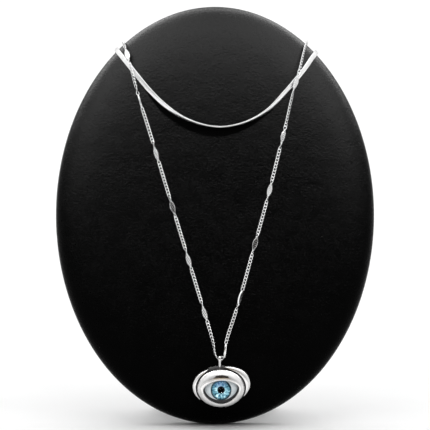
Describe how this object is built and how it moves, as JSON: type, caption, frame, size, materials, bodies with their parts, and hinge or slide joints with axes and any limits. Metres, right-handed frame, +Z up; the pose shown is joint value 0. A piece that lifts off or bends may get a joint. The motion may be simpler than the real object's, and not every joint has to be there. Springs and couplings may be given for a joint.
{
  "type": "eye pendant necklace on an oval display board",
  "caption": "Silver necklace with a short flat snake chain and a long station chain that carries a glass-eye pendant, on a black padded oval easel board.",
  "frame": {"origin": "on the surface that the display stands on, under the middle of the whole object's box", "axes": "+Z up, the front with the pendant faces -Y, +X is to the right in the picture's view"},
  "size_m": [0.14, 0.0608, 0.181],
  "materials": {
    "leatherette": "black leatherette, fine grain, low sheen",
    "leg_board": "black paper-covered board",
    "dark_metal": "black enamel",
    "silver": "polished silver, dark in its hollows",
    "bright_silver": "bright polished silver",
    "eye_white": "opaque glass, pale blue-grey",
    "iris": "streaked aqua and blue under clear glass",
    "pupil": "opaque black glass",
    "cornea": "clear polished glass"
  },
  "bodies": {
    "display": {"display_board": "leatherette", "easel_leg": "leg_board", "clasp_peg": "dark_metal", "clasp": "silver", "flat_chain": "bright_silver", "curb_chain_left": "silver", "curb_chain_right": "silver", "station_01": "silver", "station_02": "silver", "station_03": "silver", "station_04": "silver", "station_05": "silver", "station_06": "silver", "station_07": "silver", "station_08": "silver", "station_09": "silver", "station_10": "silver", "station_11": "silver", "station_12": "silver", "station_13": "silver", "station_14": "silver", "station_15": "silver", "station_16": "silver", "station_17": "silver", "station_18": "silver", "station_19": "silver", "station_20": "silver", "station_21": "silver"},
    "pendant": {"eyelid_dome": "bright_silver", "back_shell": "bright_silver", "eye_white": "eye_white", "iris": "iris", "pupil": "pupil", "cornea": "cornea"}
  },
  "joints": [
    {"name": "pendant_swing", "type": "hinge", "parent": "display", "child": "pendant", "pos_m": [0.0021, -0.02544, 0.03157], "axis": [-1, 0, 0], "range_deg": [0, 80]}
  ]
}
